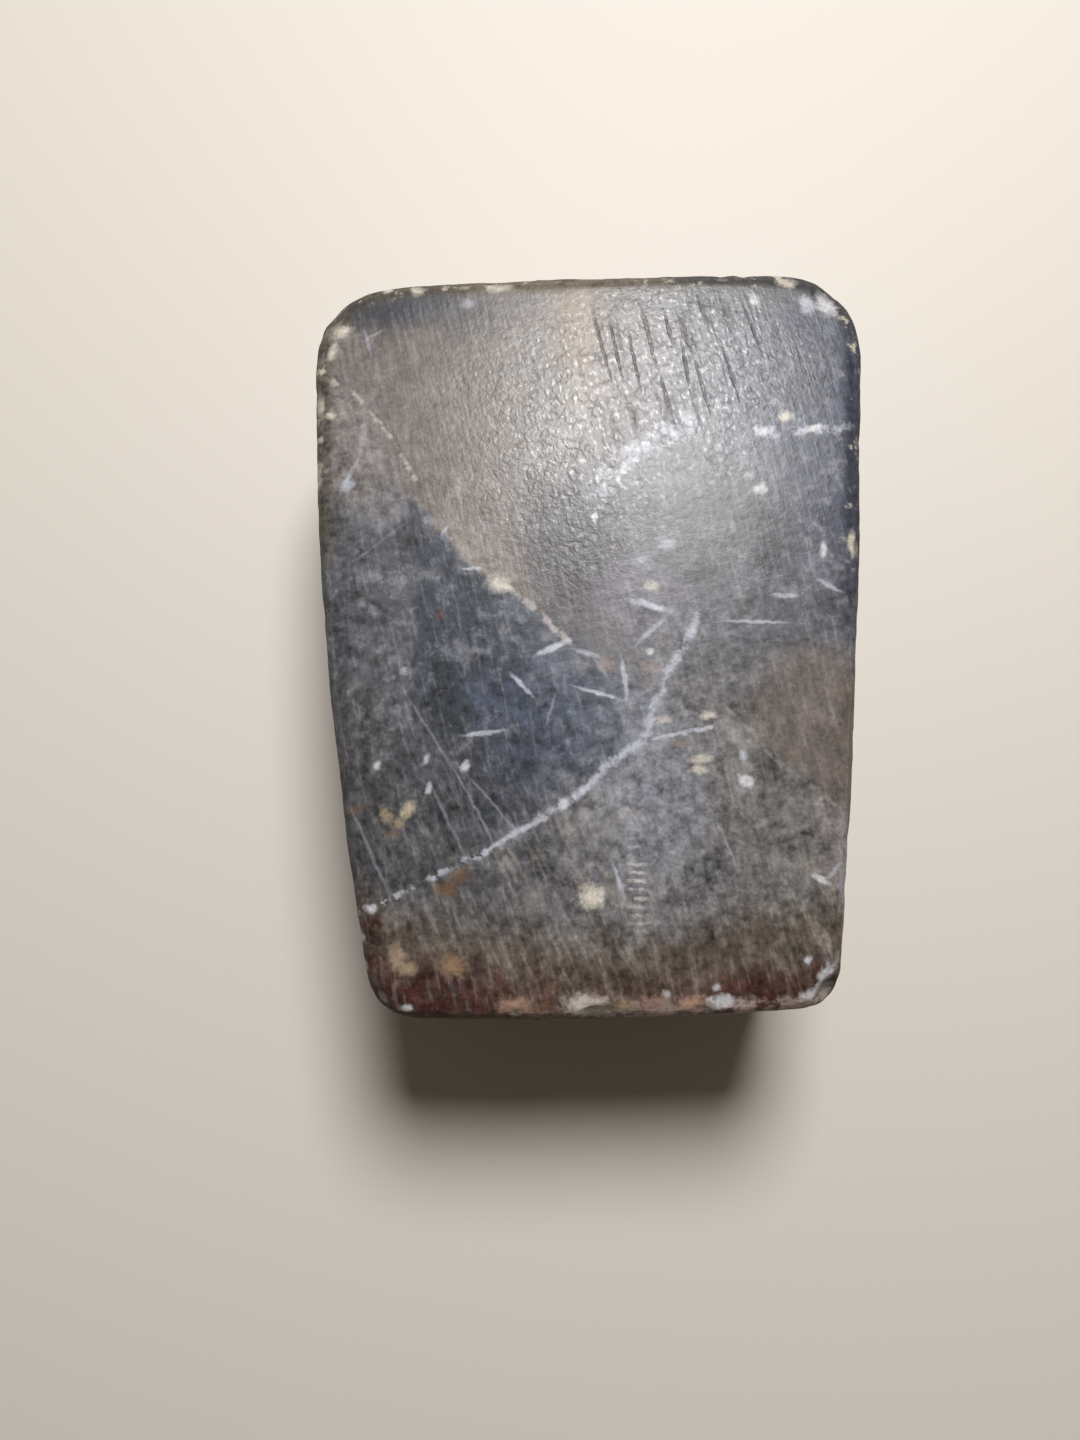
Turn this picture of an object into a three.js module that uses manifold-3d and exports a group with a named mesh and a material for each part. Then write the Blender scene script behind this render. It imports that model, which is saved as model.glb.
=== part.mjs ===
// A hand whetstone: one tapered block of natural stone that lies on its base with the honing face up.
// Everything is in millimetres. X runs across the stone, +Y to its broad end and +Z up.
// The base rests on Z = 0, and the origin is below the middle of the block.
import * as THREE from "three";
import { mergeVertices } from "three/addons/utils/BufferGeometryUtils.js";
import Module from "manifold-3d";

// The block's plan is a hand-cut taper: four corners, each rounded over its own reach, joined by
// sides that swell outwards a little. They are listed counter-clockwise, seen from above.
const CORNERS = [
  { name: "broad_left", x: -40.7, y: 50.9, reach: 15.5, bow: 1.5 },
  { name: "narrow_left", x: -29.2, y: -52.7, reach: 7.4, bow: 0.5 },
  { name: "narrow_right", x: 32.9, y: -51.0, reach: 5.6, bow: 0.4 },
  { name: "broad_right", x: 40.2, y: 52.8, reach: 14.5, bow: 0.1 },
];

// The honing face is worn: it falls towards the broad end, leans a little, and is crowned both ways.
const THICKNESS = 41.5;
const FACE_FALL = 0.022;
const FACE_LEAN = 0.017;
const CROWN_RADIUS_ALONG = 680;
const CROWN_RADIUS_ACROSS = 680;

// The edges round the honing face are rubbed smooth, those round the base less so.
const FACE_EDGE_RADIUS = 2.5;
const BASE_EDGE_RADIUS = 1.8;

// The side walls draw in slightly towards the base, and are dressed by hand, so they wander.
const WALL_DRAFT = 1.3;
const WALL_WANDER = 0.3;

// How finely the block is faceted.
const CURVE_STEPS = 13;
const FACE_RINGS = 8;
const WALL_RINGS = 6;
const EDGE_RINGS = 5;
const CHIP_DETAIL = 2;

// Chips knocked out of the edges. Each is a shallow scoop of a ball: its place in plan, the radius
// of the ball, and how deep the scoop bites into the rounded edge.
const FACE_EDGE_CHIPS = [
  { x: -37, y: 47, radius: 6, bite: 0.7 },
  { x: 36, y: 50, radius: 7, bite: 0.8 },
  { x: 32, y: -49, radius: 6, bite: 1.2 },
  { x: 1, y: -52, radius: 9, bite: 0.8 },
  { x: -37, y: 9, radius: 6, bite: 0.4 },
];
const BASE_EDGE_CHIPS = [
  { x: -38, y: 20, radius: 9, bite: 1.1 },
  { x: -18, y: -52, radius: 7, bite: 1.2 },
  { x: 36, y: -12, radius: 10, bite: 1.3 },
  { x: 10, y: 52, radius: 8, bite: 1.2 },
];

const STONE_COLOUR = 0x807d80;
const STONE_ROUGHNESS = 0.55;

const wasm = await Module();
wasm.setup();

const quarterTurn = Math.PI / 2;
const eighthTurn = Math.PI / 4;

// The plan outline as a closed shape: a quadratic curve round each corner, and one along each side.
function planShape() {
  const points = CORNERS.map((corner) => new THREE.Vector2(corner.x, corner.y));
  const towards = (from, to, distance) => to.clone().sub(from).setLength(distance).add(from);
  const shape = new THREE.Shape();
  CORNERS.forEach((corner, i) => {
    const here = points[i];
    const before = points[(i + CORNERS.length - 1) % CORNERS.length];
    const nextIndex = (i + 1) % CORNERS.length;
    const after = points[nextIndex];
    const enter = towards(here, before, corner.reach);
    const leave = towards(here, after, corner.reach);
    const sideEnd = towards(after, here, CORNERS[nextIndex].reach);
    const along = sideEnd.clone().sub(leave).normalize();
    const outward = new THREE.Vector2(along.y, -along.x);
    const swell = leave.clone().add(sideEnd).multiplyScalar(0.5).addScaledVector(outward, 2 * corner.bow);
    if (i === 0) shape.moveTo(enter.x, enter.y);
    shape.quadraticCurveTo(here.x, here.y, leave.x, leave.y);
    shape.quadraticCurveTo(swell.x, swell.y, sideEnd.x, sideEnd.y);
  });
  return shape;
}

// Places round the plan, closest together at the corners, each with the direction that faces out
// of the stone. The shape is closed, so its last point repeats the first.
function planPlaces() {
  const round = planShape().getPoints(CURVE_STEPS).slice(0, -1);
  const count = round.length;
  return round.map((point, i) => {
    const ahead = round[(i + 1) % count].clone().sub(point).normalize();
    const behind = point.clone().sub(round[(i + count - 1) % count]).normalize();
    const along = ahead.add(behind).normalize();
    return { point, outward: new THREE.Vector2(along.y, -along.x), turn: (2 * Math.PI * i) / count };
  });
}

function faceHeight(x, y) {
  const crown = (y * y) / (2 * CROWN_RADIUS_ALONG) + (x * x) / (2 * CROWN_RADIUS_ACROSS);
  return THICKNESS + FACE_LEAN * x - FACE_FALL * y - crown;
}

// How far the wall wanders from the drawn plan. It fades out at the honing face's edge.
function wallWander(turn, height) {
  const share = 1 - height / THICKNESS;
  const long = Math.sin(5 * turn + 1.3 + 1.5 * share);
  const short = 0.5 * Math.sin(9 * turn + 0.4 - 3 * share);
  return WALL_WANDER * share * (long + short);
}

// A ring of points round the stone: inset(place) is how far it lies inside the plan, and
// height(x, y) how high it is there.
function ringOf(places, inset, height) {
  return places.map((place) => {
    const flat = place.point.clone().addScaledVector(place.outward, -inset(place));
    return new THREE.Vector3(flat.x, flat.y, height(flat.x, flat.y, place));
  });
}

// Rings from the base's edge, up the walls and over to the middle of the honing face.
function stoneRings(places) {
  const rings = [];
  const baseInset = (place) => WALL_DRAFT - wallWander(place.turn, 0);
  for (let k = 0; k <= EDGE_RINGS; k++) {
    const angle = (quarterTurn * k) / EDGE_RINGS;
    const drawIn = BASE_EDGE_RADIUS * (1 - Math.sin(angle));
    const lift = BASE_EDGE_RADIUS * (1 - Math.cos(angle));
    rings.push(ringOf(places, (place) => baseInset(place) + drawIn, () => lift));
  }
  for (let k = 1; k < WALL_RINGS; k++) {
    const share = k / WALL_RINGS;
    const wallTop = THICKNESS - FACE_EDGE_RADIUS;
    const level = BASE_EDGE_RADIUS + share * (wallTop - BASE_EDGE_RADIUS);
    const inset = (place) => WALL_DRAFT * (1 - share) - wallWander(place.turn, level);
    const height = (x, y) => level + share * (faceHeight(x, y) - THICKNESS);
    rings.push(ringOf(places, inset, height));
  }
  for (let k = 0; k <= EDGE_RINGS; k++) {
    const angle = (quarterTurn * k) / EDGE_RINGS;
    const drawIn = FACE_EDGE_RADIUS * (1 - Math.cos(angle));
    const drop = FACE_EDGE_RADIUS * (1 - Math.sin(angle));
    rings.push(ringOf(places, () => drawIn, (x, y) => faceHeight(x, y) - drop));
  }
  const rim = rings[rings.length - 1];
  for (let k = 1; k < FACE_RINGS; k++) {
    const share = 1 - k / FACE_RINGS;
    rings.push(rim.map((p) => new THREE.Vector3(p.x * share, p.y * share, faceHeight(p.x * share, p.y * share))));
  }
  return rings;
}

// A closed skin over rings that all have the same number of points, with a middle point at each end.
function skinOver(rings, firstMiddle, lastMiddle) {
  const count = rings[0].length;
  const vertices = [...rings.flat(), firstMiddle, lastMiddle];
  const first = vertices.length - 2;
  const last = vertices.length - 1;
  const index = [];
  for (let j = 0; j < count; j++) {
    const next = (j + 1) % count;
    index.push(first, next, j);
    for (let i = 0; i + 1 < rings.length; i++) {
      const low = i * count;
      const high = low + count;
      index.push(low + j, low + next, high + next);
      index.push(low + j, high + next, high + j);
    }
    const top = (rings.length - 1) * count;
    index.push(last, top + j, top + next);
  }
  const geometry = new THREE.BufferGeometry().setFromPoints(vertices);
  geometry.setIndex(index);
  return geometry;
}

function toSolid(geometry) {
  const bare = new THREE.BufferGeometry().setAttribute("position", geometry.getAttribute("position"));
  if (geometry.index) bare.setIndex(geometry.index);
  const merged = mergeVertices(bare, 1e-4);
  return new wasm.Manifold(
    new wasm.Mesh({
      numProp: 3,
      vertProperties: new Float32Array(merged.attributes.position.array),
      triVerts: new Uint32Array(merged.index.array),
    }),
  );
}

function toGeometry(solid) {
  const mesh = solid.getMesh();
  const geometry = new THREE.BufferGeometry();
  geometry.setAttribute("position", new THREE.BufferAttribute(mesh.vertProperties, 3));
  geometry.setIndex(new THREE.BufferAttribute(mesh.triVerts, 1));
  const flat = geometry.toNonIndexed();
  flat.computeVertexNormals();
  return flat;
}

// The place round the plan that is nearest to a chip.
function nearestPlace(places, chip) {
  const at = new THREE.Vector2(chip.x, chip.y);
  return places.reduce((best, place) => (place.point.distanceTo(at) < best.point.distanceTo(at) ? place : best));
}

// The ball that scoops a chip out of a rounded edge. It comes in at 45 degrees, from outside and
// from above the honing face (up = 1) or below the base (up = -1).
function chipBall(places, chip, edgeRadius, up) {
  const place = nearestPlace(places, chip);
  const tuck = edgeRadius * (1 - Math.cos(eighthTurn)) + (up < 0 ? WALL_DRAFT : 0);
  const edge = place.point.clone().addScaledVector(place.outward, -tuck);
  const faceLevel = up > 0 ? faceHeight(edge.x, edge.y) : 0;
  const skin = new THREE.Vector3(edge.x, edge.y, faceLevel - up * edgeRadius * (1 - Math.sin(eighthTurn)));
  const outward = new THREE.Vector3(place.outward.x, place.outward.y, up).normalize();
  const centre = skin.addScaledVector(outward, chip.radius - chip.bite);
  const ball = new THREE.IcosahedronGeometry(chip.radius, CHIP_DETAIL);
  return toSolid(ball.translate(centre.x, centre.y, centre.z));
}

function stoneGeometry() {
  const places = planPlaces();
  const baseMiddle = new THREE.Vector3(0, 0, 0);
  const faceMiddle = new THREE.Vector3(0, 0, faceHeight(0, 0));
  let stone = toSolid(skinOver(stoneRings(places), baseMiddle, faceMiddle));
  for (const chip of FACE_EDGE_CHIPS) stone = stone.subtract(chipBall(places, chip, FACE_EDGE_RADIUS, 1));
  for (const chip of BASE_EDGE_CHIPS) stone = stone.subtract(chipBall(places, chip, BASE_EDGE_RADIUS, -1));
  return toGeometry(stone);
}

function whetstone() {
  const geometry = stoneGeometry();
  const material = new THREE.MeshStandardMaterial({
    color: STONE_COLOUR,
    roughness: STONE_ROUGHNESS,
    metalness: 0,
  });
  const mesh = new THREE.Mesh(geometry, material);
  mesh.name = "stone_block";
  geometry.computeBoundingBox();
  const middle = geometry.boundingBox.getCenter(new THREE.Vector3());
  mesh.position.set(-middle.x, -middle.y, -geometry.boundingBox.min.z);
  return mesh;
}

const whole = new THREE.Group();
whole.add(whetstone());

export default whole;
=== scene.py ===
"""A hand whetstone: one block of veined natural stone, lying on its base on a pale table."""

import math
from functools import reduce

import bpy
import numpy as np
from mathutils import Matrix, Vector, kdtree, noise


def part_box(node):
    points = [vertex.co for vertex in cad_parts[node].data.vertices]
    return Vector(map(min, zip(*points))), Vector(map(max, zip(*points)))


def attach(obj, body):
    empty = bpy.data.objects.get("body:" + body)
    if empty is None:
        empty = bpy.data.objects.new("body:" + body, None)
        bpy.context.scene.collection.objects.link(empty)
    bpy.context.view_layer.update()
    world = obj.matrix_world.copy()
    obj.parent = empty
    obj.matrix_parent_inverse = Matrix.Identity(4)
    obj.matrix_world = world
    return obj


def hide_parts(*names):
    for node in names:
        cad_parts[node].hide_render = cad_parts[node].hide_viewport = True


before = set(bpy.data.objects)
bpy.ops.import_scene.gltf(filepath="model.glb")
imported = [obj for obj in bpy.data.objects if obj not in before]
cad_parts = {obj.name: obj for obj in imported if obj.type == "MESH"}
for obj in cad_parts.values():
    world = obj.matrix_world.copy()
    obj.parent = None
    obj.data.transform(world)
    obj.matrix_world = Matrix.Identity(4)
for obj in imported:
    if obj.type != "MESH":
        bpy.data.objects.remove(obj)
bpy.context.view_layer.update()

# ---- The block's shape --------------------------------------------------------------------
# The whetstone is a single piece of fine-grained stone. It was sawn to a rough taper, its walls
# were dressed by hand and never polished, and years of honing have crowned and smoothed its top.
# Knocks have bruised and flaked the edges round the top and the base.
MM = 0.001
SKIN_STEP = 0.56 * MM
SOFTENING = 9

WALL_ROUGHNESS = 0.34
WALL_GRAIN = 0.07
FACE_WAVINESS = 0.05
EDGE_WEAR = 0.08
BASE_ROUGHNESS = 0.22

# Flakes off the top edge that can be told apart: place in plan, radius of the scoop and its depth.
TOP_FLAKES = [
    (-34.0, 42.5, 3.4, 0.40),
    (-35.6, 39.3, 2.6, 0.30),
    (-23.6, 48.6, 2.6, 0.25),
    (-12.4, 49.0, 3.2, 0.25),
    (33.9, 47.2, 4.4, 0.55),
    (29.3, 50.2, 2.6, 0.35),
    (37.4, 10.8, 3.2, 0.45),
    (30.2, -48.4, 4.4, 0.35),
    (1.0, -51.4, 5.2, 0.22),
    (-10.0, -51.6, 3.2, 0.25),
    (14.0, -51.0, 4.0, 0.30),
    (-38.6, 34.5, 4.2, 0.40),
    (-27.6, -49.4, 3.0, 0.35),
]
SMALL_FLAKES = 50
RIM_REACH = 8.0
FLAKE_SEED = 11


def rise(value, low, high):
    """0 below low, 1 above high, and a smooth step between them."""
    share = np.clip((value - low) / (high - low), 0, 1)
    return share * share * (3 - 2 * share)


def lumps(points, size, octaves, place):
    """Fractal noise from about -1 to 1, with lumps of that size in millimetres."""
    shift = Vector((place, 2 * place, 3 * place))
    return np.array([noise.fractal(Vector(p) / size + shift, 1.0, 2.0, octaves) for p in points])


def even_skin(node):
    """A new object with that CAD node's shape, under an even, softened skin of small faces."""
    piece = bpy.data.objects.new("whetstone", node.data.copy())
    bpy.context.scene.collection.objects.link(piece)
    remesh = piece.modifiers.new("even_skin", "REMESH")
    remesh.mode = "VOXEL"
    remesh.voxel_size = SKIN_STEP
    smooth = piece.modifiers.new("softened", "SMOOTH")
    smooth.factor = 0.5
    smooth.iterations = SOFTENING
    worked = piece.evaluated_get(bpy.context.evaluated_depsgraph_get())
    piece.data = bpy.data.meshes.new_from_object(worked)
    piece.modifiers.clear()
    piece.data.materials.clear()
    return piece


def skin_arrays(mesh):
    """The skin's points in millimetres, and their normals."""
    points = np.empty(3 * len(mesh.vertices))
    normals = np.empty(3 * len(mesh.vertices))
    mesh.vertices.foreach_get("co", points)
    mesh.vertex_normals.foreach_get("vector", normals)
    return points.reshape(-1, 3) / MM, normals.reshape(-1, 3)


def keep_skin(mesh, points):
    mesh.vertices.foreach_set("co", (points * MM).astype(np.float32).ravel())
    mesh.update()


def keep_field(mesh, name, values):
    """Stores one number per point of the skin, for the material to read."""
    field = mesh.attributes.new(name, "FLOAT", "POINT")
    field.data.foreach_set("value", values.astype(np.float32))


whetstone = even_skin(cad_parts["stone_block"])
skin, outward = skin_arrays(whetstone.data)
low_mm, high_mm = (np.array(corner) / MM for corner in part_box("stone_block"))

on_face = rise(outward[:, 2], 0.80, 0.97)
on_base = rise(-outward[:, 2], 0.80, 0.97)
on_edge = rise(1 - np.abs(outward[:, 2]), 0.03, 0.2) * rise(np.abs(outward[:, 2]), 0.05, 0.3)
on_wall = np.clip(1 - on_face - on_base - 0.6 * on_edge, 0, 1)

hollow = WALL_ROUGHNESS * (0.7 + lumps(skin, 11, 4, 3.1)) * on_wall
hollow += WALL_GRAIN * (0.5 + lumps(skin, 2.2, 3, 7.7)) * np.clip(on_wall + 0.5 * on_edge, 0, 1)
hollow += FACE_WAVINESS * (0.6 + lumps(skin, 17, 2, 1.3)) * on_face
hollow += EDGE_WEAR * (0.55 + lumps(skin, 5, 3, 5.9)) * on_edge
hollow += BASE_ROUGHNESS * np.clip(0.2 + lumps(skin, 7, 4, 9.4), 0, 1) * on_base
skin = skin - outward * hollow[:, None]


def flake_off(points, normals, seat, radius, bite, lift):
    """Scoops a flake out of the skin round a seat on an edge. Returns how deep each point went.
    The scoop is a ball that comes in along the edge's own normal, tipped up by lift."""
    direction = normals[seat] + np.array([0, 0, lift])
    direction /= np.linalg.norm(direction)
    centre = points[seat] + direction * (radius - bite)
    away = points - centre
    distance = np.linalg.norm(away, axis=1)
    near = np.flatnonzero(distance < 1.2 * radius)
    ragged = np.array([noise.noise(Vector(points[i]) / (0.45 * radius)) for i in near])
    reach = radius * (1 + 0.05 * ragged)
    depth = np.maximum(reach - distance[near], 0)
    points[near] += away[near] / distance[near, None] * depth[:, None]
    return near, depth


def seat_near(points, x, y, top):
    """The point of the top edge, or of the base's edge, that is nearest to a place in plan."""
    candidates = np.flatnonzero(edge_band & ((points[:, 2] > high_mm[2] / 2) == top))
    gap = np.hypot(points[candidates, 0] - x, points[candidates, 1] - y)
    return candidates[np.argmin(gap)]


edge_band = (np.abs(outward[:, 2]) > 0.45) & (np.abs(outward[:, 2]) < 0.85)
flaked = np.zeros(len(skin))
chance = np.random.default_rng(FLAKE_SEED)
for x, y, radius, bite in TOP_FLAKES:
    near, depth = flake_off(skin, outward, seat_near(skin, x, y, True), radius, bite, 0.2)
    flaked[near] = np.maximum(flaked[near], depth / bite)
for seat in chance.choice(np.flatnonzero(edge_band), SMALL_FLAKES, replace=False):
    radius = chance.uniform(0.9, 2.6) ** 1.3
    bite = radius * chance.uniform(0.07, 0.16)
    near, depth = flake_off(skin, outward, seat, radius, bite, 0)
    flaked[near] = np.maximum(flaked[near], 0.7 * depth / bite)


def rim_distance(points, rim):
    """How far each point is from the nearest point of the rim, up to RIM_REACH."""
    tree = kdtree.KDTree(len(rim))
    for i, point in enumerate(points[rim]):
        tree.insert(point, i)
    tree.balance()
    return np.array([min(tree.find(point)[2], RIM_REACH) for point in points])


skin = np.clip(skin, low_mm, high_mm)
rim = rim_distance(skin, np.flatnonzero(edge_band & (skin[:, 2] > high_mm[2] / 2)))
keep_skin(whetstone.data, skin)
keep_field(whetstone.data, "flaked", np.clip(flaked, 0, 1))
keep_field(whetstone.data, "on_face", on_face)
keep_field(whetstone.data, "on_edge", on_edge)
keep_field(whetstone.data, "rim", rim)
whetstone.data.polygons.foreach_set("use_smooth", [True] * len(whetstone.data.polygons))


# ---- The stone ----------------------------------------------------------------------------
# A dense metamorphic stone, grey-blue on one side of an old crack and taupe on the other, cut by
# thin calcite veins. Iron has stained its narrow end olive, brown and maroon.
# Everything is placed in millimetres in the stone itself, so each zone and vein runs on down
# through the walls as it does in real rock.
FACE_LEVEL = 41.5
ZONE_LEAN_X = 0.30
ZONE_LEAN_Y = -0.22


class Field:
    """What varies through the stone: a number, a vector or a colour, held as a node's socket."""

    tree = None

    def __init__(self, socket):
        self.socket = socket
        self.twin = None

    @classmethod
    def node(cls, kind, settings=None, sockets=None, out=0):
        """Adds a node, with its settings first and then its sockets' values or links."""
        made = cls.tree.nodes.new(kind)
        for name, value in (settings or {}).items():
            setattr(made, name, value)
        for key, value in (sockets or {}).items():
            if isinstance(value, cls):
                cls.tree.links.new(value.socket, made.inputs[key])
            else:
                made.inputs[key].default_value = value
        return cls(made.outputs[out]) if made.outputs else None

    def worked(self, operation, first, second=0.0):
        if self.socket.type == "VECTOR":
            flat = [(v, v, v) if isinstance(v, (int, float)) else v for v in (first, second)]
            return Field.node("ShaderNodeVectorMath", {"operation": operation}, {0: flat[0], 1: flat[1]})
        return Field.node("ShaderNodeMath", {"operation": operation}, {0: first, 1: second})

    def __add__(self, other):
        return self.worked("ADD", self, other)

    def __sub__(self, other):
        return self.worked("SUBTRACT", self, other)

    def __mul__(self, other):
        return self.worked("MULTIPLY", self, other)

    def __rsub__(self, other):
        return self.worked("SUBTRACT", other, self)

    __radd__ = __add__
    __rmul__ = __mul__

    def most(self, other):
        return self.worked("MAXIMUM", self, other)

    def least(self, other):
        return self.worked("MINIMUM", self, other)

    def rise(self, low, high):
        """0 where this is low, 1 where it is high, and a smooth step between them."""
        settings = {"interpolation_type": "SMOOTHSTEP"}
        return Field.node("ShaderNodeMapRange", settings, {"Value": self, "From Min": low, "From Max": high})

    def fall(self, low, high, most=1.0):
        """That much where this is low, 0 where it is high, and a smooth step between them."""
        settings = {"interpolation_type": "SMOOTHSTEP"}
        ends = {"Value": self, "From Min": low, "From Max": high, "To Min": most, "To Max": 0.0}
        return Field.node("ShaderNodeMapRange", settings, ends)

    def held(self):
        """This, kept from 0 to 1."""
        return Field.node("ShaderNodeClamp", sockets={"Value": self})

    def length(self):
        return Field.node("ShaderNodeVectorMath", {"operation": "LENGTH"}, {0: self}, "Value")

    def dot(self, other):
        return Field.node("ShaderNodeVectorMath", {"operation": "DOT_PRODUCT"}, {0: self, 1: other}, "Value")

    def swapped(self):
        """This place with its x and y changed over."""
        if self.twin is None:
            turned_over = {0: self.dot((0, 1, 0)), 1: self.dot((1, 0, 0))}
            self.twin = Field.node("ShaderNodeCombineXYZ", sockets=turned_over)
        return self.twin

    def times_plus(self, factor, rest):
        """This times one vector, plus another."""
        terms = {0: self, 1: factor, 2: rest}
        return Field.node("ShaderNodeVectorMath", {"operation": "MULTIPLY_ADD"}, terms)

    def seen_from(self, centre, wide, tall, turn=0.0):
        """This place as an oval sees it: from its centre and along its axes, in its own half widths."""
        x, y = centre
        cosine, sine = math.cos(math.radians(turn)), math.sin(math.radians(turn))
        shift = (-(cosine * x + sine * y) / wide, (sine * x - cosine * y) / tall, 0)
        if turn:
            shift = self.swapped().times_plus((sine / wide, -sine / tall, 0), shift)
        return self.times_plus((cosine / wide, cosine / tall, 0), shift)


def paint(red, green, blue):
    """A colour given as it looks, from 0 to 255, as the shader's linear colour."""
    shares = [channel / 255 for channel in (red, green, blue)]
    return tuple(s / 12.92 if s <= 0.04045 else ((s + 0.055) / 1.055) ** 2.4 for s in shares) + (1.0,)


def strongest(*fields):
    """The greatest of those fields at each place."""
    return reduce(Field.most, fields)


def mixed(under, over, amount, blend="MIX"):
    """The colour over laid on the colour under, as strongly as amount says."""
    settings = {"data_type": "RGBA", "blend_type": blend}
    return Field.node("ShaderNodeMix", settings, {0: amount, 6: under, 7: over}, 2)


def grain(where, size, detail=2.0, rough=0.5):
    """Noise from 0 to 1 with grains of that size in millimetres."""
    sockets = {"Vector": where, "Scale": 1 / size, "Detail": detail, "Roughness": rough}
    return Field.node("ShaderNodeTexNoise", {"noise_dimensions": "3D"}, sockets, "Fac")


def wander(where, size, reach, detail=2.0):
    """A vector that wanders either way by up to about reach, in lumps of that size."""
    sockets = {"Vector": where, "Scale": 1 / size, "Detail": detail}
    noisy = Field.node("ShaderNodeTexNoise", {"noise_dimensions": "3D"}, sockets, "Color")
    centred = Field.node("ShaderNodeVectorMath", {"operation": "SUBTRACT"}, {0: noisy, 1: (0.5, 0.5, 0.5)})
    return centred * (2 * reach)


def part_of(name):
    """What the skin's own field of that name says."""
    return Field.node("ShaderNodeAttribute", {"attribute_name": name}, out="Fac")


stone = bpy.data.materials.new("whetstone_stone")
stone.use_nodes = True
stone.node_tree.nodes.clear()
Field.tree = stone.node_tree

place = Field.node("ShaderNodeTexCoord", out="Object") * (1 / MM)
across = place.dot((1, 0, 0))
along = place.dot((0, 1, 0))
depth = FACE_LEVEL - place.dot((0, 0, 1))
plan_sockets = {0: across + depth * ZONE_LEAN_X, 1: along + depth * ZONE_LEAN_Y}
plan = Field.node("ShaderNodeCombineXYZ", sockets=plan_sockets)
face_part = part_of("on_face")
edge_part = part_of("on_edge")
flake_part = part_of("flaked")
rim = part_of("rim")

soft_plan = plan + wander(place, 12.0, 5.0, 4.0)
torn_plan = plan + wander(place, 3.2, 1.3, 4.0)
crisp_plan = plan + wander(place, 1.3, 0.32, 3.0)
cloud = grain(place, 9.0, 5.0, 0.6)
ragged = (grain(place, 0.9, 3.0, 0.65) - 0.5) * 1.3
broken = grain(place, 1.9, 3.0, 0.65)
worn_through = ragged + depth.rise(4.5, 8.0) * 2.0


def zone(centre, wide, tall, turn=0.0, soft=0.6, where=soft_plan):
    """1 inside a broad oval of that half width and half height, fading out over its soft border."""
    return where.seen_from(centre, wide, tall, turn).length().fall(1 - soft, 1 + soft)


def mark(centre, wide, tall, turn=0.0, strength=1.0, where=crisp_plan):
    """That strength on a small ragged mark of that half width and half height, 0 off it and below it."""
    return (where.seen_from(centre, wide, tall, turn).length() + worn_through).fall(0.25, 1.25, strength)


def hairline(start, end, width, strength=1.0):
    """That strength on a thin line between two points that runs out at both ends, 0 off it."""
    middle = ((start[0] + end[0]) / 2, (start[1] + end[1]) / 2)
    run = (end[0] - start[0], end[1] - start[1])
    turn = math.degrees(math.atan2(run[1], run[0])) - 90
    off = crisp_plan.seen_from(middle, width / 2, math.hypot(*run) / 2, turn).length()
    return (off + ragged * 0.6).fall(0.35, 1.25, strength)


def side_of(start, end, soft, where=soft_plan):
    """1 on the left of the line from start to end, 0 on its right, over a soft border."""
    run = (end[0] - start[0], end[1] - start[1])
    size = math.hypot(*run)
    left = (-run[1] / size, run[0] / size, 0)
    return (where - (start[0], start[1], 0)).dot(left).rise(-soft, soft)


def off_line(start, end, where):
    """How far each place is from the line between two points, in millimetres."""
    run = Vector((end[0] - start[0], end[1] - start[1], 0))
    from_start = where - (start[0], start[1], 0)
    share = from_start.dot(tuple(run / run.length_squared)).held()
    on_line = Field.node("ShaderNodeVectorMath", {"operation": "SCALE"}, {0: tuple(run), "Scale": share})
    return (from_start - on_line).length()


def vein(points, width, where=crisp_plan):
    """1 on a ragged thread of mineral that runs through those points, 0 off it."""
    near = off_line(points[0], points[1], where)
    for start, end in zip(points[1:], points[2:]):
        near = near.least(off_line(start, end, where))
    return (near + (ragged - broken + 0.5) * (0.6 * width)).fall(0.05 * width, 0.70 * width)


def strokes(turn, apart, long, seed):
    """Noise from 0 to 1 drawn out into strokes: apart across them, long along them, in millimetres.
    They run along the stone's length, turned anticlockwise by that many degrees."""
    return grain(plan.seen_from((7.0 * seed, 3.0 * seed), apart, long, turn) + (0, 0, seed), 1.0, 2.0, 0.5)


# The broad zones of colour, from the largest to the smallest.
GREY = paint(114, 112, 115)
WARM_GREY = paint(112, 107, 103)
TAUPE = paint(109, 99, 92)
DUSTY_TAUPE = paint(120, 112, 109)
DIM_TAUPE = paint(80, 75, 77)
CREAM_TAUPE = paint(146, 135, 126)
MIST = paint(86, 87, 92)
BLUE_BLACK = paint(66, 73, 90)
DEEP_BLUE = paint(50, 55, 68)
SLATE_BLUE = paint(44, 49, 72)
LAVENDER_BLACK = paint(49, 45, 58)
PALE_GREY = paint(133, 133, 141)
BROWN_GREY = paint(76, 74, 75)
OLIVE = paint(91, 79, 69)
RED_BROWN = paint(93, 70, 61)
MAROON = paint(66, 36, 33)
LILAC_GREY = paint(112, 107, 109)

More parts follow.
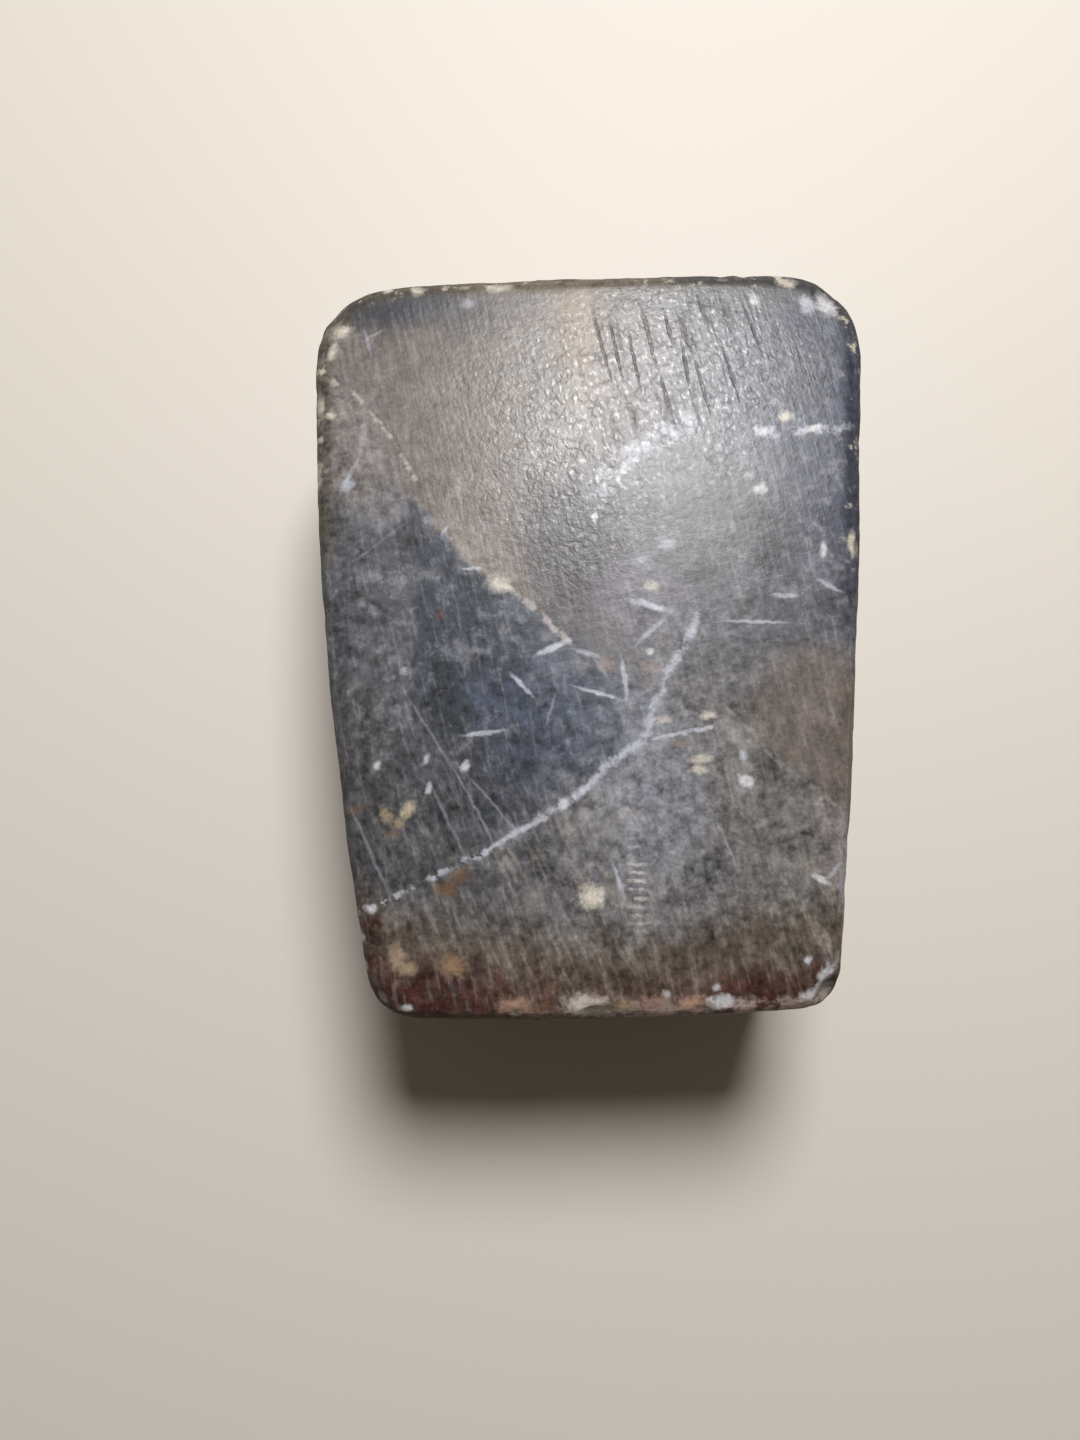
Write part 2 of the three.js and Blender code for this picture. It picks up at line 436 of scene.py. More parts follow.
colour = mixed(GREY, WARM_GREY, (zone((30, -26), 14, 22) * 0.5 + cloud * 0.5).held())
above_crack = side_of((-33.0, 33.5), (-25.4, 19.4), 0.7, torn_plan)
above_crack = above_crack.least(side_of((-25.4, 19.4), (-17.6, 9.7), 0.5, torn_plan))
above_crack = above_crack.least(side_of((-17.6, 9.7), (-3.6, -0.8), 0.5, torn_plan))
above_vein = side_of((-32.0, -40.0), (7.5, -15.6), 2.0, torn_plan)
left_half = (1 - above_crack) * above_vein
colour = mixed(colour, MIST, left_half)
colour = mixed(colour, LILAC_GREY, left_half * (along + cloud * 6.0).rise(15.0, 22.0))
colour = mixed(colour, TAUPE, above_crack * side_of((9.0, -6.0), (14.0, 50.0), 8.0))
colour = mixed(colour, DUSTY_TAUPE, zone((-33.0, 29.0), 8.0, 13.0, 10, 0.5) * along.rise(14.0, 21.0) * 0.9)

# Broad patches: place, half width, half height, turn, softness, what they follow, colour and strength.
BROAD_PATCHES = [
    ((12.0, 30.0), 9.0, 24.0, 0, 0.6, soft_plan, paint(90, 84, 86), 0.8),
    ((24.0, 5.0), 18.0, 13.0, 0, 0.6, soft_plan, paint(88, 87, 93), 0.85),
    ((35.0, 32.0), 16.0, 27.0, 6, 0.6, soft_plan, SLATE_BLUE, 0.95),
    ((-0.3, 11.5), 7.0, 11.0, -8, 0.7, soft_plan, LAVENDER_BLACK, 0.85),
    ((17.5, 14.5), 10.0, 7.0, -20, 0.7, soft_plan, paint(70, 70, 73), 0.7),
    ((27.0, 38.0), 6.5, 12.0, 0, 0.7, soft_plan, paint(58, 60, 70), 0.5),
    ((7.5, 4.0), 5.0, 5.5, 0, 0.7, soft_plan, paint(126, 122, 136), 0.6),
    ((-24.0, 46.0), 13.0, 4.5, 4, 0.5, soft_plan, DIM_TAUPE, 0.9),
    ((-25.5, 46.4), 9.0, 3.0, 6, 0.6, torn_plan, paint(54, 56, 63), 0.85),
    ((18.0, 48.8), 18.0, 3.4, 0, 0.6, torn_plan, paint(66, 63, 64), 0.8),
    ((7.0, -21.0), 7.0, 17.0, 6, 0.6, soft_plan, PALE_GREY, 0.75),
]
for centre, wide, tall, turn, soft, where, tint, strength in BROAD_PATCHES:
    colour = mixed(colour, tint, zone(centre, wide, tall, turn, soft, where) * strength)

STEEL_BLUE = paint(78, 86, 103)
LEAD_GREY = paint(54, 58, 62)
colour = mixed(colour, STEEL_BLUE, zone((-7.0, -14.0), 12.0, 13.0, -30) * above_vein * 0.8)
blue_zone = zone((-14.5, -8.0), 7.5, 22.0, 8, 0.35) * left_half
colour = mixed(colour, BLUE_BLACK, blue_zone * 0.95)
wedge = side_of((-24.8, 18.0), (-22.0, -4.0), 0.6, crisp_plan) * zone((-17.0, 8.0), 9.0, 15.0, 20, 0.4)
colour = mixed(colour, DEEP_BLUE, wedge * left_half * 0.85)
dark_run = zone((-18.0, -14.5), 3.0, 12.0, 14, 0.5, torn_plan)
colour = mixed(colour, LEAD_GREY, dark_run * above_vein * 0.75)
colour = mixed(colour, BROWN_GREY, zone((-33.0, -22.0), 7.0, 15.0, 8) * 0.85)
cream_wedge = zone((-14.6, 9.0), 3.0, 8.0, 35, 0.7, torn_plan) * above_crack
colour = mixed(colour, CREAM_TAUPE, cream_wedge * 0.8)

# Lesser patches, given in the same way.
LESSER_PATCHES = [
    ((-0.5, 43.5), 2.4, 10.0, 3, 0.8, torn_plan, paint(150, 126, 100), 0.55),
    ((-16.0, -28.5), 15.0, 12.0, -20, 0.6, soft_plan, paint(70, 70, 74), 0.65),
    ((8.0, -38.0), 7.0, 5.0, 0, 0.6, soft_plan, paint(96, 94, 94), 0.6),
    ((34.0, -30.0), 3.6, 18.0, 4, 0.6, soft_plan, paint(130, 121, 120), 0.6),
]
for centre, wide, tall, turn, soft, where, tint, strength in LESSER_PATCHES:
    colour = mixed(colour, tint, zone(centre, wide, tall, turn, soft, where) * strength)

DULL_BROWN = paint(110, 100, 93)
PEAT = paint(50, 45, 46)
brown_corner = side_of((20.0, -13.3), (33.0, -24.6), 0.5, torn_plan)
brown_corner = brown_corner * zone((31.0, -15.0), 10.5, 10.5, 0, 0.35)
colour = mixed(colour, DULL_BROWN, brown_corner * 0.95)
colour = mixed(colour, PEAT, mark((23.4, -19.4), 2.3, 2.7, 0, 0.8))

ORANGE_RUST = paint(122, 84, 60)
SOOT_BROWN = paint(44, 34, 32)
shore = along + cloud * 9.0 + broken * 6.0
colour = mixed(colour, OLIVE, (shore - across * across * 0.006).fall(-37.5, -31.0) * 0.95)
colour = mixed(colour, RED_BROWN, shore.fall(-42.5, -36.5) * 0.85)
rust = grain(place, 2.0, 4.0, 0.7)
MAROON_PATCHES = [
    ((-22.0, -50.0), 12.0, 5.2),
    ((-30.0, -44.0), 3.5, 6.0),
    ((25.0, -49.0), 9.0, 3.4),
    ((29.6, -47.6), 3.2, 3.4),
]
maroon_zone = strongest(*(zone(*patch, 0, 0.5, torn_plan) for patch in MAROON_PATCHES))
colour = mixed(colour, MAROON, maroon_zone * rust.rise(0.30, 0.58))
colour = mixed(colour, ORANGE_RUST, shore.fall(-40.0, -36.0) * rust.rise(0.56, 0.70) * 0.45)
colour = mixed(colour, SOOT_BROWN, shore.fall(-40.0, -34.0) * rust.fall(0.36, 0.46) * 0.45)

# The honing strokes: light scratches over the narrow half, and fine ones everywhere.
LIGHT_SCRATCH = paint(150, 143, 134)
GREY_SCRATCH = paint(128, 130, 132)
PALE_RUB = paint(172, 168, 168)
DARK_RUB = paint(30, 29, 32)
low_left = zone((-9.0, -34.0), 22.0, 13.0, -20, 0.4).most(zone((31.0, -38.0), 8.0, 9.0, 0, 0.4))
light_strokes = strokes(26, 1.0, 9.0, 1).rise(0.46, 0.68) * low_left * face_part * (1 - above_vein * 0.5)
colour = mixed(colour, LIGHT_SCRATCH, light_strokes * 0.48)
blue_strokes = strokes(24, 0.75, 9.0, 5).rise(0.54, 0.68) * zone((-17.0, -18.0), 12.0, 16.0, 20) * face_part
colour = mixed(colour, GREY_SCRATCH, blue_strokes * 0.22)
rubbing = strokes(12, 0.7, 6.0, 2)
colour = mixed(colour, PALE_RUB, rubbing.rise(0.52, 0.70) * face_part * 0.16)
colour = mixed(colour, DARK_RUB, rubbing.fall(0.32, 0.48) * face_part * 0.22)

# Mottling: lighter and darker grains all through the stone, coarse and fine, then pale flecks.
FLECK_GREY = paint(150, 148, 151)
smooth_part = (above_crack * across.fall(0.0, 12.0)).most(brown_corner) * 0.55
mottle = (grain(place, 1.4, 3.0, 0.62) - 0.5) * 1.7 + (grain(place, 4.5, 3.0, 0.6) - 0.5) * 1.2
colour = mixed(colour, mottle * (1 - smooth_part) + 0.5, 0.75, "OVERLAY")
fleck_zone = zone((8.0, -24.0), 15.0, 15.0, 0, 0.5).most(zone((-20.0, 0.0), 18.0, 24.0, 0, 0.4) * 0.7)
fleck_zone = fleck_zone.most(zone((26.0, 20.0), 13.0, 26.0, 0, 0.5) * 0.75)
flecks = (grain(place, 1.9, 3.0, 0.65) + (cloud - 0.5) * 0.35).rise(0.50, 0.72) * fleck_zone
colour = mixed(colour, FLECK_GREY, flecks * 0.55)

# Dark grooves worn in from the broad end.
GROOVE_DARK = paint(54, 50, 50)
upper = zone((13.0, 37.0), 17.0, 15.0, 0, 0.35)
dark_strokes = strokes(14, 1.5, 14.0, 3).rise(0.57, 0.70) * upper * face_part * 0.6
DARK_GROOVES = [
    ((8.2, 46.5), (10.2, 36.5), 0.65),
    ((13.4, 45.5), (15.4, 38.5), 0.75),
    ((19.4, 40.5), (21.7, 31.0), 0.65),
    ((22.8, 46.5), (25.4, 38.0), 0.65),
    ((1.2, 46.5), (3.9, 33.5), 0.55),
    ((3.6, 44.5), (5.4, 34.5), 0.45),
    ((13.8, 41.0), (14.6, 33.0), 0.55),
    ((15.4, 38.5), (17.4, 29.5), 0.6),
    ((11.6, 45.0), (12.6, 39.5), 0.5),
    ((6.4, 42.0), (7.8, 33.0), 0.45),
    ((10.6, 35.5), (12.4, 27.5), 0.5),
]
for start, end, width in DARK_GROOVES:
    dark_strokes = dark_strokes.most(hairline(start, end, width))
colour = mixed(colour, GROOVE_DARK, dark_strokes * 0.58)

# Calcite: the main vein from edge to edge with its branch, the seam of the old crack, and a
# bright broken band nearer the broad end.
HALO_GREY = paint(142, 145, 158)
CALCITE = paint(186, 188, 199)
CREAM = paint(200, 192, 178)
TAN = paint(158, 138, 116)
PALE = paint(206, 205, 208)
lower_run = [(-16.6, -31.6), (-14.2, -30.8), (-11.2, -28.6), (-8.1, -27.0), (-6.0, -25.6), (-3.4, -24.0)]
middle_run = [(-3.4, -24.0), (-1.4, -22.6), (2.0, -19.1), (6.7, -15.6), (7.9, -13.6)]
upper_run = [(7.9, -13.6), (7.9, -12.0), (9.4, -8.9), (10.5, -6.3), (13.3, -1.6), (14.4, 1.0)]
far_run = [(-45.0, -47.0), (-28.5, -38.1), (-22.6, -34.9), (-16.6, -31.6)]
branch = [(8.2, -15.4), (12.4, -14.5), (16.0, -13.9)]
main_vein = strongest(
    vein(lower_run, 0.95) * broken.rise(0.34, 0.46),
    vein(far_run, 0.8) * broken.rise(0.50, 0.60) * 0.8,
    vein(middle_run, 1.25) * broken.rise(0.28, 0.48),
    vein(upper_run, 1.3) * broken.rise(0.28, 0.52) * 0.85,
    vein(branch, 0.65) * broken.rise(0.30, 0.48),
)
halo = vein(middle_run + upper_run[1:], 3.6).most(vein(lower_run, 2.4))
colour = mixed(colour, HALO_GREY, halo * broken.rise(0.34, 0.66) * 0.40)
colour = mixed(colour, CALCITE, main_vein * 0.9)

CRACK_PINK = paint(182, 173, 170)
CREASE_GREY = paint(156, 151, 147)
crack_top = [(-38.0, 36.2), (-32.6, 33.7), (-26.6, 26.2), (-23.5, 20.5)]
crack_foot = [(-12.4, 5.9), (-9.9, 4.6), (-6.6, 1.4), (-2.9, -2.2)]
crack_vein = vein(crack_top, 0.8) * broken.rise(0.38, 0.55)
crack_vein = crack_vein.most(vein(crack_foot, 1.0) * broken.rise(0.34, 0.50))
colour = mixed(colour, CRACK_PINK, crack_vein * 0.75)
crease = [(10.9, -7.7), (17.5, -10.7), (20.1, -13.3), (24.0, -17.8), (33.0, -24.6)]
crease_line = vein(crease, 0.6) * broken.rise(0.35, 0.55)
colour = mixed(colour, CREASE_GREY, crease_line * 0.4)

BAND_WHITE = paint(188, 189, 202)
band_place = plan + wander(place, 2.0, 1.3, 4.0)
band_rise = [(2.4, 20.0), (4.0, 22.4), (7.2, 24.5), (10.3, 26.7), (13.6, 28.6)]
band_end = [(23.6, 27.4), (27.2, 26.8), (31.6, 27.6), (37.5, 28.0)]
bright_band = vein(band_rise, 3.2, band_place)
bright_band = bright_band.most(vein(band_end, 1.5, band_place) * 0.9)
colour = mixed(colour, BAND_WHITE, bright_band * broken.rise(0.36, 0.60) * 0.7)

# Short hairlines of calcite: start, end, width and how strongly they show.
HAIRLINES = [
    ((-7.4, -4.3), (-2.4, -1.9), 1.0, 0.95),
    ((-17.2, 7.7), (-14.0, 7.8), 0.6, 0.85),
    ((-20.0, 12.2), (-18.7, 14.0), 0.6, 0.6),
    ((-10.7, -6.5), (-7.4, -9.9), 0.7, 0.85),
    ((-2.8, -8.2), (4.6, -10.3), 0.6, 0.85),
    ((-17.2, -15.0), (-11.0, -14.3), 0.7, 0.8),
    ((5.0, 3.6), (11.2, 1.7), 1.1, 0.9),
    ((4.1, -4.0), (5.0, -10.3), 0.8, 0.85),
    ((5.8, -3.0), (10.6, 1.4), 0.8, 0.6),
    ((-2.2, -3.3), (1.6, -4.5), 0.8, 0.6),
    ((0.4, -4.6), (2.4, -7.0), 0.7, 0.4),
    ((17.6, 0.5), (26.8, 0.3), 0.5, 0.65),
    ((24.2, 4.1), (28.3, 3.9), 0.8, 0.65),
    ((30.7, 6.3), (34.4, 4.4), 0.7, 0.6),
    ((-25.4, -8.0), (-17.0, -21.2), 0.45, 0.2),
    ((-18.4, -18.6), (-11.8, -30.8), 0.45, 0.28),
    ((-17.0, -19.4), (-8.4, -29.0), 0.45, 0.28),
    ((-22.2, -19.2), (-15.2, -33.4), 0.5, 0.22),
    ((-31.8, -24.0), (-25.8, -37.0), 0.6, 0.26),
    ((2.9, -31.8), (4.3, -36.2), 0.7, 0.9),
    ((-30.4, 29.0), (-31.0, 24.0), 1.1, 0.3),
    ((-30.8, 24.2), (-33.8, 18.2), 0.8, 0.35),
    ((-30.6, 42.8), (-29.6, 38.4), 0.7, 0.4),
    ((-30.8, 40.8), (-27.8, 42.6), 0.6, 0.3),
    ((30.0, -34.4), (33.6, -31.6), 0.8, 0.4),
    ((-6.0, -13.8), (-4.6, -9.2), 0.6, 0.3),
    ((16.0, -25.0), (19.4, -33.0), 0.5, 0.3),
    ((-34.5, 6.5), (-24.0, 14.8), 0.4, 0.12),
]
for start, end, width, strength in HAIRLINES:
    colour = mixed(colour, CALCITE, hairline(start, end, width, strength))

# A ladder of short pale nicks across the stone.
NICK_PALE = paint(184, 180, 175)
NICK_STEP = 1.08
nick_phase = (along + ragged * 0.35 + cloud * 1.5) * (2 * math.pi / NICK_STEP)
wave = Field.node("ShaderNodeMath", {"operation": "SINE"}, {0: nick_phase})
ladder = mark((6.0, -35.0), 1.6, 6.8, 4, 1.0, plan) * wave.rise(-0.2, 0.8)
colour = mixed(colour, NICK_PALE, ladder * broken.rise(0.34, 0.54))

# Inclusions and bruises: place, half width, half height, turn, colour and how strongly they show.
RUST = paint(112, 86, 68)
INCLUSIONS = [
    ((0.1, -36.1), 2.1, 1.8, 8, paint(212, 203, 190), 1.0),
    ((-24.9, -44.4), 1.2, 2.1, 12, TAN, 0.9),
    ((-23.6, -45.8), 1.6, 1.0, 0, TAN, 0.95),
    ((-17.7, -45.3), 2.2, 1.7, 0, paint(150, 122, 94), 0.8),
    ((-18.6, -35.2), 1.9, 1.4, 30, RUST, 0.85),
    ((-16.9, -33.4), 1.5, 1.2, 0, RUST, 0.8),
    ((-26.9, -25.6), 0.9, 1.4, 25, TAN, 0.9),
    ((-24.0, -24.9), 0.9, 1.6, -30, paint(184, 170, 146), 0.95),
    ((-25.2, -26.7), 0.9, 0.7, 0, paint(170, 150, 120), 0.8),
    ((-26.0, -28.1), 1.3, 0.6, 0, paint(112, 92, 76), 0.7),
    ((-31.0, -25.0), 1.6, 0.7, 20, paint(126, 100, 80), 0.5),
    ((-12.2, 5.7), 1.9, 1.4, -15, CREAM, 0.8),
    ((20.5, -20.9), 1.2, 1.0, 0, PALE, 1.0),
    ((20.1, -17.6), 0.6, 1.0, 0, paint(186, 188, 200), 0.85),
    ((19.2, -14.8), 1.5, 1.1, -40, paint(168, 160, 154), 0.6),
    ((14.4, -18.0), 1.8, 0.6, 4, CREAM, 0.8),
    ((14.2, -19.5), 1.3, 0.75, 0, CREAM, 0.95),
    ((15.6, -12.2), 1.1, 0.6, 0, CREAM, 0.9),
    ((9.6, -12.8), 1.2, 0.6, 0, CREAM, 0.65),
    ((11.8, -15.9), 1.8, 0.6, 0, paint(142, 124, 114), 0.5),
    ((10.6, -18.8), 1.6, 0.7, 0, paint(160, 158, 158), 0.4),
    ((8.4, 5.3), 1.3, 0.8, 0, CREAM, 0.65),
    ((4.6, 5.0), 2.2, 0.7, 0, paint(140, 138, 146), 0.45),
    ((8.0, -3.6), 0.6, 0.6, 0, PALE, 0.85),
    ((8.0, -5.6), 2.0, 1.0, 0, paint(150, 134, 128), 0.55),
    ((8.6, -7.6), 1.4, 0.7, 0, paint(156, 146, 142), 0.45),
    ((2.1, -5.4), 1.6, 1.0, -20, paint(158, 142, 134), 0.55),
    ((-1.4, -5.6), 1.4, 1.6, 0, paint(120, 116, 122), 0.5),
    ((10.5, 11.2), 1.7, 1.0, 0, CALCITE, 0.5),
    ((7.0, 9.0), 1.2, 0.9, 0, CALCITE, 0.35),
    ((23.7, 18.9), 1.1, 1.0, 0, PALE, 0.7),
    ((22.2, 20.8), 0.8, 0.7, 0, PALE, 0.4),
    ((27.8, 29.4), 1.1, 0.9, 0, CREAM, 0.85),
    ((24.5, 27.2), 1.0, 0.8, 0, PALE, 0.85),
    ((31.6, 27.6), 1.4, 0.6, 20, PALE, 0.85),
    ((32.0, 10.3), 0.6, 1.3, 0, PALE, 0.75),
    ((-28.1, -19.1), 0.6, 0.8, 0, PALE, 0.9),
    ((-21.7, -18.2), 0.5, 1.0, -25, PALE, 0.65),
    ((-16.5, -19.1), 0.6, 1.0, -20, PALE, 0.95),
    ((-21.3, -22.1), 0.5, 1.0, -15, PALE, 0.85),
    ((-24.7, -6.3), 0.6, 0.7, 0, PALE, 0.6),
    ((-32.7, 19.6), 0.9, 1.3, -30, CALCITE, 0.7),
    ((-28.5, -38.1), 0.9, 0.7, 0, PALE, 0.85),
    ((-32.3, -40.1), 0.8, 0.6, 0, PALE, 0.75),
    ((30.1, -33.9), 1.4, 0.5, -30, PALE, 0.9),
    ((28.4, -44.4), 0.7, 0.7, 0, PALE, 0.85),
    ((16.4, -47.9), 0.6, 0.6, 0, PALE, 0.6),
    ((9.9, -48.7), 0.7, 0.6, 0, PALE, 0.6),
    ((0.9, 14.9), 0.5, 0.6, 0, PALE, 0.9),
    ((2.6, -27.6), 1.8, 1.6, 0, paint(170, 168, 170), 0.5),
    ((4.6, -25.4), 1.4, 1.1, 0, paint(178, 174, 172), 0.5),
    ((7.6, -22.4), 1.0, 2.4, 10, paint(160, 160, 176), 0.45),
    ((-7.4, -37.0), 1.8, 2.8, 20, paint(146, 142, 138), 0.4),
    ((-3.6, -24.0), 0.9, 0.8, 0, PALE, 0.75),
    ((-6.2, -25.8), 0.8, 0.7, 0, PALE, 0.6),
    ((24.5, 46.9), 0.8, 1.3, 20, PALE, 0.6),
    ((-20.1, 1.3), 0.6, 0.9, 0, paint(96, 52, 52), 0.75),
]
for centre, wide, tall, turn, tint, strength in INCLUSIONS:
    colour = mixed(colour, tint, mark(centre, wide, tall, turn, strength))

# The worn rim round the honing face: dirt and painted shade in the rounding, and pale crumbs where it was
# knocked. The olive is painted shade with the table's warm light in it, laid on the dirt.
OLIVE_DIRT_AND_SHADE = paint(92, 85, 70)
BLUE_DIRT = paint(66, 68, 74)
BROWN_DIRT = paint(112, 101, 86)
DARK_DIRT = paint(64, 61, 62)
BLACK_DIRT = paint(46, 48, 56)
PINK_CRUMB = paint(168, 150, 140)
RED_DIRT = paint(96, 60, 52)
CREAM_CRUMB = paint(186, 177, 160)
RIM_LILAC = paint(158, 152, 158)
BRUISE_PALE = paint(160, 154, 146)
crumbs = grain(place, 1.9, 4.0, 0.65)
rim_dirt_and_shade = (rim + ragged * 1.6).fall(0.4, 2.8) * cloud.rise(0.30, 0.52) * along.rise(2.0, 18.0)
# Olive in the rounding on the left is painted shade where the rim turns from the lamp, together with dirt.
# The right side of the rim takes blue-grey.
colour = mixed(colour, OLIVE_DIRT_AND_SHADE, rim_dirt_and_shade * across.fall(20.0, 32.0) * 0.8)
colour = mixed(colour, BLUE_DIRT, rim_dirt_and_shade * across.rise(20.0, 32.0) * 0.6)
top_rim = (rim + ragged * 2.0).fall(1.4, 3.6) * along.rise(42.0, 46.0) * across.rise(-22.0, -14.0)
colour = mixed(colour, BROWN_DIRT, top_rim * across.fall(6.0, 18.0) * 0.75)
colour = mixed(colour, DARK_DIRT, top_rim * across.rise(6.0, 18.0) * 0.8)
colour = mixed(colour, BLACK_DIRT, rim_dirt_and_shade * crumbs.fall(0.36, 0.46) * 0.7)
bottom_rim = (rim + ragged * 2.0).fall(0.3, 2.4) * along.fall(-49.5, -47.5)
bottom_rim = bottom_rim * (cloud + across * 0.02).rise(0.35, 0.6)
colour = mixed(colour, PINK_CRUMB, bottom_rim * crumbs.rise(0.38, 0.55))
colour = mixed(colour, RED_DIRT, bottom_rim * crumbs.fall(0.40, 0.50) * 0.6)
colour = mixed(colour, CREAM_CRUMB, rim_dirt_and_shade * crumbs.rise(0.58, 0.66) * 0.8)
EDGE_FLAKES = [
    ((-33.8, 42.3), 1.8, 1.1, 25, CREAM),
    ((-35.0, 39.4), 0.8, 1.7, -15, CREAM),
    ((-23.1, 48.6), 1.1, 1.0, 0, CREAM),
    ((-11.6, 48.7), 2.1, 0.9, 0, CREAM),
    ((-27.2, 48.9), 0.9, 0.7, 0, CREAM),
    ((-16.0, 46.4), 1.2, 0.9, 0, paint(146, 144, 150)),
    ((-36.6, 31.2), 0.6, 1.7, 0, CREAM),
    ((-35.1, 29.7), 0.8, 0.6, 0, CREAM),
    ((-36.5, 26.3), 0.5, 0.6, 0, CREAM),
    ((-36.4, 36.4), 0.6, 0.6, 0, CREAM),
    ((29.4, 49.6), 1.5, 1.1, 0, CREAM),
    ((34.8, 46.3), 1.8, 2.1, 30, PALE),
    ((32.0, 46.1), 1.3, 1.7, 0, paint(176, 176, 186)),
    ((36.2, 11.2), 0.9, 2.1, 0, CREAM),
    ((30.9, -46.6), 1.2, 2.2, -35, PALE),
    ((29.0, -48.8), 2.0, 0.9, 20, PALE),
    ((-9.7, -50.4), 2.5, 1.3, 0, paint(170, 138, 122)),
    ((-0.5, -50.3), 3.3, 1.9, 0, paint(204, 194, 186)),
    ((4.0, -50.4), 2.0, 1.2, 0, TAN),
    ((8.4, -50.0), 1.8, 1.1, 0, paint(150, 122, 110)),
    ((13.7, -50.3), 2.4, 1.5, 0, paint(186, 150, 130)),
    ((17.2, -49.9), 2.3, 1.1, 0, PALE),
    ((-36.8, 8.5), 0.6, 3.4, 0, CREAM),
    ((-36.8, 21.0), 0.7, 2.6, 0, CREAM),
    ((-29.6, -42.2), 0.6, 1.1, 0, PALE),
    ((-29.2, -46.0), 0.6, 0.9, 0, PALE),
    ((-23.5, -51.0), 1.0, 0.6, 0, PALE),
]
for centre, wide, tall, turn, tint in EDGE_FLAKES:
    colour = mixed(colour, tint, mark(centre, wide, tall, turn, 0.9))
right_rim = zone((34.4, -36.0), 1.6, 10.0, 3, 0.5, torn_plan) * broken.rise(0.3, 0.6)
colour = mixed(colour, RIM_LILAC, right_rim * 0.7)
bruise = (flake_part + ragged * 0.5).rise(0.25, 0.75) * (1 - face_part)
colour = mixed(colour, BRUISE_PALE, bruise * 0.5)

# Fine grains show even in the marks and the veins.
fine_grain = (grain(place, 0.55, 2.0, 0.6) - 0.5) * 1.0 + (broken - 0.5) * 0.6
colour = mixed(colour, fine_grain + 1.0, 1.0, "MULTIPLY")

# The walls are matt and paler with stone dust, with the saw's slanting lines across them.
STONE_DUST = paint(150, 146, 140)
wall_part = (1 - face_part) * (1 - edge_part)
saw_lines = grain(place * (0.06, 0.06, 0.9), 1.0, 3.0, 0.6)
colour = mixed(colour, STONE_DUST, wall_part * saw_lines.rise(0.42, 0.66) * 0.22)

# How it takes the light: the face has a worn, leathery satin sheen, the walls none. Pale glints are also
# painted into the face's colour on the sheen, as a painted highlight.
CREASE_DARK = paint(50, 46, 48)
PAINTED_GLINT_PALE = paint(190, 184, 180)
cells_place = (crisp_plan + wander(place, 0.9, 0.5, 2.0)).seen_from((0, 0), 1.25, 1.6, 20)
cell_settings = {"voronoi_dimensions": "2D", "feature": "DISTANCE_TO_EDGE"}
cells = Field.node("ShaderNodeTexVoronoi", cell_settings, {"Vector": cells_place, "Scale": 1.0}, "Distance")
shiny_zone = upper.most(zone((-4.0, 27.0), 15.0, 20.0, 0, 0.6) * above_crack)
creases = cells.fall(0.0, 0.22) * grain(place, 2.2, 3.0, 0.6).rise(0.40, 0.60) * shiny_zone
colour = mixed(colour, CREASE_DARK, creases * face_part * 0.22)
# Glints: glossier grains in the shiny zone. They are lightened in colour too, which is a painted highlight.
glints = strokes(16, 0.55, 1.0, 7).rise(0.52, 0.72) * shiny_zone
colour = mixed(colour, PAINTED_GLINT_PALE, glints * face_part * 0.26)

gloss = 0.26 + 0.14 * cloud + 0.12 * dark_strokes + 0.08 * creases - 0.13 * glints + 0.38 * (1 - face_part)
leather = grain(place, 0.8, 2.0, 0.6) * (0.022 + 0.026 * shiny_zone) - creases * 0.012
worn = grain(place, 2.6, 2.0, 0.5) * 0.030 + rubbing * 0.020
cuts = main_vein * 0.015 - dark_strokes * 0.035 - light_strokes * 0.010
dressed = grain(place, 1.6, 6.0, 0.7) * 0.35 + saw_lines * 0.10
height = (leather + worn + cuts) * face_part + dressed * (1 - face_part)
relief = Field.node("ShaderNodeBump", {}, {"Strength": 1.0, "Distance": MM, "Height": height}, "Normal")
satin = {"Base Color": colour, "Roughness": gloss, "IOR": 1.45, "Normal": relief}
surface = Field.node("ShaderNodeBsdfPrincipled", {}, satin, "BSDF")
Field.node("ShaderNodeOutputMaterial", {}, {"Surface": surface}, None)
whetstone.data.materials.append(stone)

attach(whetstone, "root")
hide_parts("stone_block")

# ---- The table ----------------------------------------------------------------------------
# The stone lies on a wide table top of plain board, painted in a matt, pale and slightly warm grey.
# It is only a stage, and no part of the stone.
TABLE_HALF = 4.0
TABLE_ROUGHNESS = 0.6
TABLE_COLOUR = (0.775, 0.717, 0.645, 1.0)

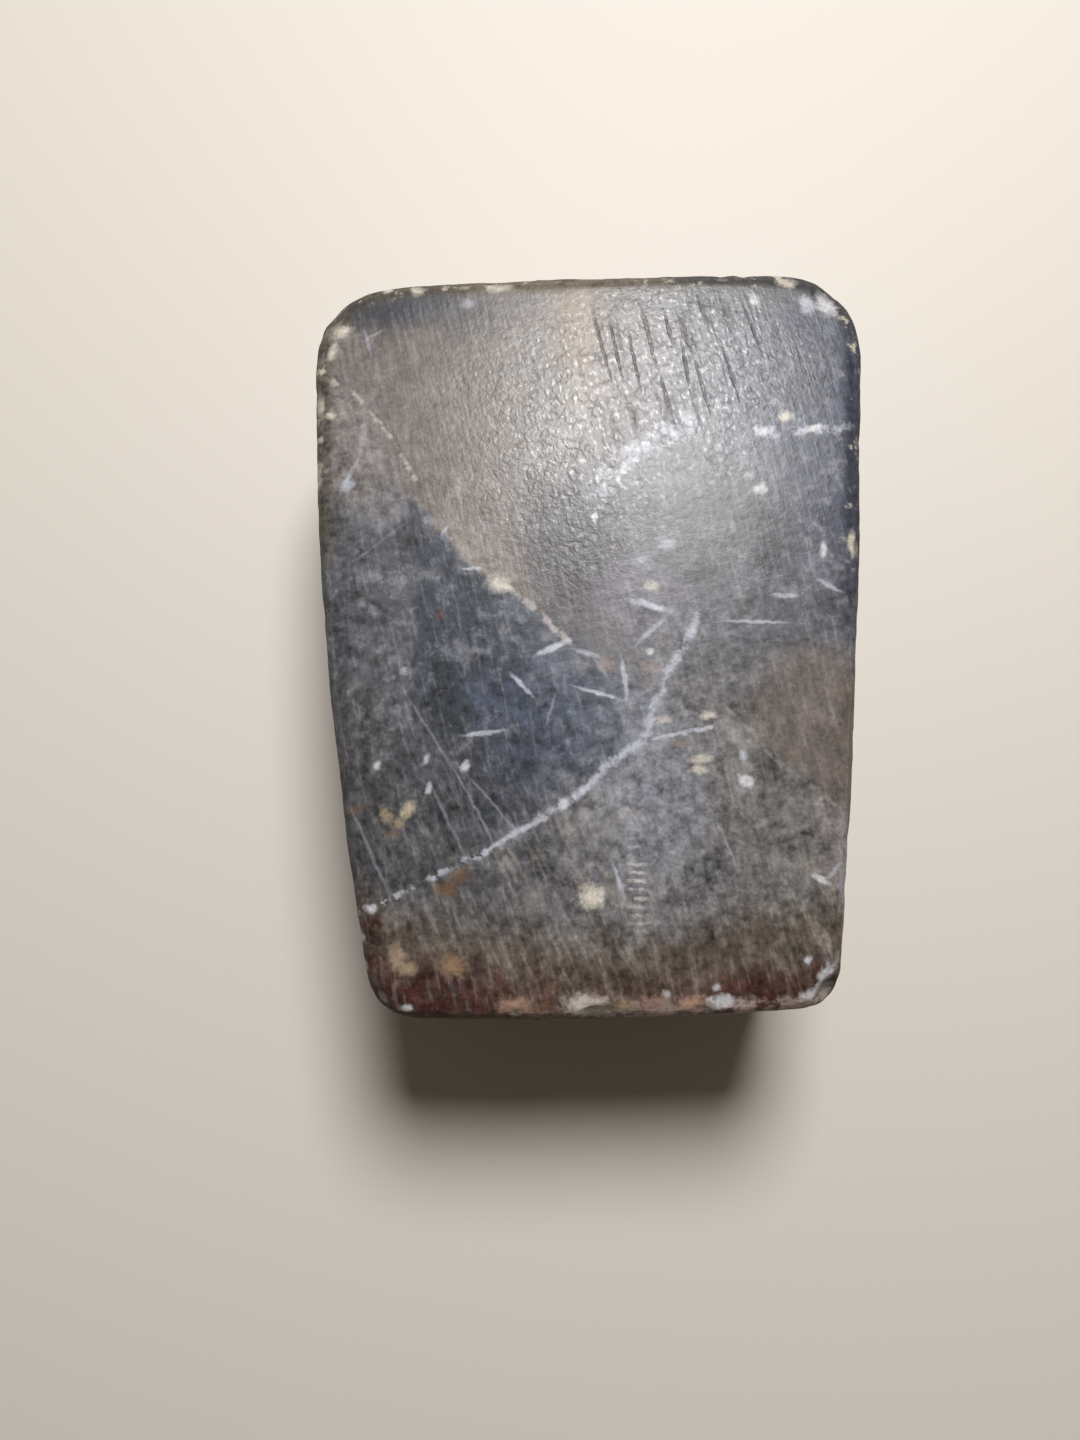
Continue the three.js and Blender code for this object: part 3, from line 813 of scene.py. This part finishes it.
table_mesh = bpy.data.meshes.new("table")
corners = [(TABLE_HALF * x, TABLE_HALF * y, 0) for x, y in ((-1, -1), (1, -1), (1, 1), (-1, 1))]
table_mesh.from_pydata(corners, [], [(0, 1, 2, 3)])
table = bpy.data.objects.new("table", table_mesh)
bpy.context.scene.collection.objects.link(table)
table_paint = bpy.data.materials.new("table_paint")
table_paint.use_nodes = True
finish = table_paint.node_tree.nodes["Principled BSDF"]
finish.inputs["Base Color"].default_value = TABLE_COLOUR
finish.inputs["Roughness"].default_value = TABLE_ROUGHNESS
table.data.materials.append(table_paint)

# ---- Light and camera ---------------------------------------------------------------------
# One round soft lamp stands high over the stone's broad end, and an even glow comes from all round.
# The lamp's distance and width set the size of the bright patch on the honing face.
LAMP_REACH = 0.62
LAMP_WIDTH = 0.24
LAMP_POWER = 3.95
LAMP_TOWARDS = Vector((0.10, 0.585, 1.0)).normalized()
GLOW = (0.080, 0.071, 0.056, 1.0)

lamp_data = bpy.data.lights.new("softbox", "AREA")
lamp_data.shape = "DISK"
lamp_data.size = LAMP_WIDTH
lamp_data.energy = LAMP_POWER
lamp = bpy.data.objects.new("softbox", lamp_data)
lamp.location = LAMP_TOWARDS * LAMP_REACH
lamp.rotation_euler = LAMP_TOWARDS.to_track_quat("Z", "Y").to_euler()
bpy.context.scene.collection.objects.link(lamp)

world = bpy.data.worlds.new("studio")
world.use_nodes = True
glow = world.node_tree.nodes["Background"]
glow.inputs["Color"].default_value = GLOW
bpy.context.scene.world = world
bpy.context.scene.view_settings.view_transform = "Standard"

# The camera looks down on the honing face, tipped a little towards the broad end.
CAMERA_AT = Vector((-6.70, -29.27, 184.25)) * MM
CAMERA_TIP = math.radians(6.55)
CAMERA_FILM = 36.0
CAMERA_LENS = 27.03
CAMERA_NEAR = 5 * MM
camera_data = bpy.data.cameras.new("camera")
camera_data.sensor_width = CAMERA_FILM
camera_data.lens = CAMERA_LENS
camera_data.clip_start = CAMERA_NEAR
camera = bpy.data.objects.new("camera", camera_data)
camera.location = CAMERA_AT
camera.rotation_euler = (CAMERA_TIP, 0, 0)
bpy.context.scene.collection.objects.link(camera)
bpy.context.scene.camera = camera
